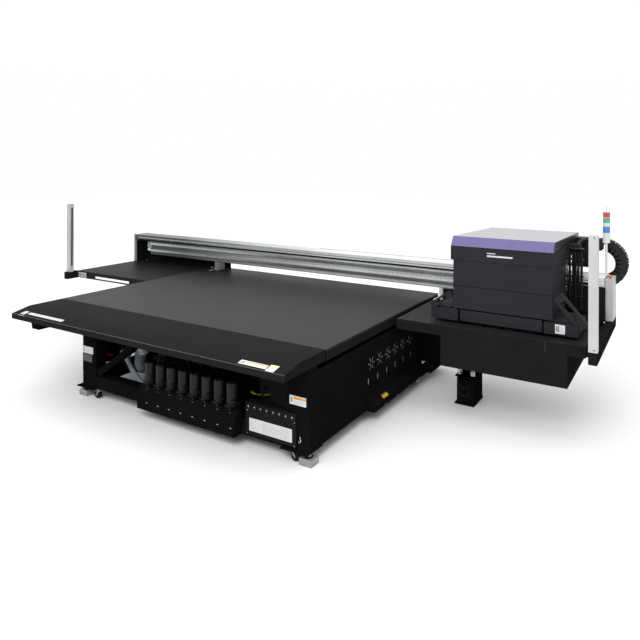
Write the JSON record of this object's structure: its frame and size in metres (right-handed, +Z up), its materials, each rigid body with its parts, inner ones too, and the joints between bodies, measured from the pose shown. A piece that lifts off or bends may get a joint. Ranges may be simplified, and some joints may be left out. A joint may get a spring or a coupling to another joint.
{
  "type": "flatbed uv printer",
  "caption": "Large flatbed UV printer: a fixed vacuum table on a steel base, a travelling gantry with side wings, and a print carriage with lamps and cable chain.",
  "frame": {"origin": "centre of the machine's footprint, on the floor", "axes": "+X to the operator's right, +Y from the operator's side towards the gantry, +Z up"},
  "size_m": [5.582, 2.452, 1.553],
  "materials": {
    "black_steel": "satin black paint",
    "dark_sheet": "fine textured dark grey powder coat",
    "vacuum_table": "dark hard-anodised plate with fine vacuum holes",
    "rail_steel": "ground steel",
    "pad_steel": "dull zinc",
    "zinc_steel": "zinc plated",
    "bottle_plastic": "dark matte plastic",
    "blower_paint": "grey blue paint",
    "hose_plastic": "grey blue hose",
    "cabinet_paint": "dark powder coat",
    "wheel_rubber": "dark solid rubber",
    "beam_aluminium": "clear anodised extrusion",
    "white_paint": "off-white powder coat",
    "white_plastic": "white plastic",
    "lamp_plastic": "translucent coloured lenses: blue, green and red",
    "cap_plastic": "dark plastic",
    "chain_plastic": "black moulded links",
    "belt_rubber": "black timing belt",
    "button_plastic": "orange-red button",
    "carriage_paint": "dark blue-grey powder coat",
    "lid_paint": "pale lavender paint",
    "head_steel": "satin steel",
    "hose_black": "black hose"
  },
  "bodies": {
    "bed": {"base_frame": "black_steel", "side_panel_right": "black_steel", "base_panels": "black_steel", "side_service_box": "black_steel", "table_bearers": "black_steel", "table_plate": "vacuum_table", "table_skirts": "dark_sheet", "front_cover": "dark_sheet", "feed_beams": "black_steel", "feed_rails": "rail_steel", "levelling_feet": "pad_steel", "ink_tray": "black_steel", "ink_bottle_covers": "bottle_plastic", "valve_panel": "dark_sheet", "vacuum_unit": "blower_paint", "vacuum_hoses": "hose_plastic", "control_cabinet": "cabinet_paint", "station_stand": "black_steel"},
    "caster_swivel_1": {"caster_fork_1": "zinc_steel"},
    "wheel_1": {"caster_wheel_1": "wheel_rubber"},
    "wheel_3": {"caster_wheel_3": "wheel_rubber"},
    "caster_swivel_2": {"caster_fork_2": "zinc_steel"},
    "wheel_2": {"caster_wheel_2": "wheel_rubber"},
    "wheel_4": {"caster_wheel_4": "wheel_rubber"},
    "lever_1": {"valve_lever_1": "zinc_steel"},
    "lever_2": {"valve_lever_2": "zinc_steel"},
    "lever_3": {"valve_lever_3": "zinc_steel"},
    "lever_4": {"valve_lever_4": "zinc_steel"},
    "lever_5": {"valve_lever_5": "zinc_steel"},
    "lever_6": {"valve_lever_6": "zinc_steel"},
    "lever_7": {"valve_lever_7": "zinc_steel"},
    "lever_8": {"valve_lever_8": "zinc_steel"},
    "gantry": {"gantry_beam": "beam_aluminium", "gantry_lower_profile": "beam_aluminium", "carriage_rails": "rail_steel", "gantry_end_plates": "white_paint", "gantry_rear_panels": "dark_sheet", "gantry_legs": "beam_aluminium", "left_wing": "dark_sheet", "side_arms": "dark_sheet", "light_posts": "white_paint", "station_shell": "dark_sheet", "station_deck": "dark_sheet", "capping_unit": "cap_plastic", "estop_box": "white_paint", "tower_pole": "white_plastic", "tower_lamps": "lamp_plastic", "cable_chain": "chain_plastic", "drive_belt": "belt_rubber", "feed_saddles": "black_steel"},
    "estop_button": {"estop_button": "button_plastic"},
    "drive_pulley": {"drive_pulley": "zinc_steel"},
    "idler_pulley": {"idler_pulley": "zinc_steel"},
    "carriage_slide": {"carriage_frame": "carriage_paint"},
    "carriage": {"carriage_shell": "carriage_paint", "carriage_lid": "lid_paint", "lamp_housings": "carriage_paint", "lamp_handles": "carriage_paint", "print_heads": "head_steel", "ink_tubes": "hose_black"}
  },
  "joints": [
    {"name": "caster_swivel_1", "type": "hinge", "parent": "bed", "child": "caster_swivel_1", "pos_m": [-0.881, -0.944, 0.06], "axis": [0, 0, 1], "continuous": true},
    {"name": "wheel_spin_1", "type": "hinge", "parent": "caster_swivel_1", "child": "wheel_1", "pos_m": [-0.901, -0.944, 0.0305], "axis": [0, 1, 0], "continuous": true},
    {"name": "wheel_spin_3", "type": "hinge", "parent": "bed", "child": "wheel_3", "pos_m": [-0.901, 0.63, 0.0305], "axis": [0, 1, 0], "continuous": true},
    {"name": "caster_swivel_2", "type": "hinge", "parent": "bed", "child": "caster_swivel_2", "pos_m": [1.03, -0.944, 0.06], "axis": [0, 0, 1], "continuous": true},
    {"name": "wheel_spin_2", "type": "hinge", "parent": "caster_swivel_2", "child": "wheel_2", "pos_m": [1.05, -0.944, 0.0305], "axis": [0, 1, 0], "continuous": true},
    {"name": "wheel_spin_4", "type": "hinge", "parent": "bed", "child": "wheel_4", "pos_m": [1.05, 0.63, 0.0305], "axis": [0, 1, 0], "continuous": true},
    {"name": "valve_turn_1", "type": "hinge", "parent": "bed", "child": "lever_1", "pos_m": [0.693, -0.974, 0.285], "axis": [0, 1, 0], "range_deg": [0, 90]},
    {"name": "valve_turn_2", "type": "hinge", "parent": "bed", "child": "lever_2", "pos_m": [0.7437, -0.974, 0.285], "axis": [0, 1, 0], "range_deg": [0, 90]},
    {"name": "valve_turn_3", "type": "hinge", "parent": "bed", "child": "lever_3", "pos_m": [0.7944, -0.974, 0.285], "axis": [0, 1, 0], "range_deg": [0, 90]},
    {"name": "valve_turn_4", "type": "hinge", "parent": "bed", "child": "lever_4", "pos_m": [0.8451, -0.974, 0.285], "axis": [0, 1, 0], "range_deg": [0, 90]},
    {"name": "valve_turn_5", "type": "hinge", "parent": "bed", "child": "lever_5", "pos_m": [0.8958, -0.974, 0.285], "axis": [0, 1, 0], "range_deg": [0, 90]},
    {"name": "valve_turn_6", "type": "hinge", "parent": "bed", "child": "lever_6", "pos_m": [0.9465, -0.974, 0.285], "axis": [0, 1, 0], "range_deg": [0, 90]},
    {"name": "valve_turn_7", "type": "hinge", "parent": "bed", "child": "lever_7", "pos_m": [0.9972, -0.974, 0.285], "axis": [0, 1, 0], "range_deg": [0, 90]},
    {"name": "valve_turn_8", "type": "hinge", "parent": "bed", "child": "lever_8", "pos_m": [1.0479, -0.974, 0.285], "axis": [0, 1, 0], "range_deg": [0, 90]},
    {"name": "gantry_travel", "type": "slide", "parent": "bed", "child": "gantry", "axis": [0, -1, 0], "range_m": [0, 1.3]},
    {"name": "estop_press", "type": "slide", "parent": "gantry", "child": "estop_button", "axis": [0, 0, -1], "range_m": [0, 0.006], "stiffness_N_per_m": 900},
    {"name": "drive_pulley_spin", "type": "hinge", "parent": "gantry", "child": "drive_pulley", "pos_m": [2.591, 0.871, 0.953], "axis": [0, 0, 1], "range_deg": [-9000, 9000]},
    {"name": "idler_pulley_spin", "type": "hinge", "parent": "gantry", "child": "idler_pulley", "pos_m": [-2.671, 0.871, 0.953], "axis": [0, 0, 1], "range_deg": [-9000, 9000]},
    {"name": "carriage_travel", "type": "slide", "parent": "gantry", "child": "carriage_slide", "axis": [-1, 0, 0], "range_m": [0, 4.1]},
    {"name": "head_lift", "type": "slide", "parent": "carriage_slide", "child": "carriage", "axis": [0, 0, 1], "range_m": [0, 0.05]}
  ],
  "couplings": [
    {"joint": "drive_pulley_spin", "follows": "carriage_travel", "rad_per_m": 34.247},
    {"joint": "idler_pulley_spin", "follows": "carriage_travel", "rad_per_m": 34.247}
  ]
}
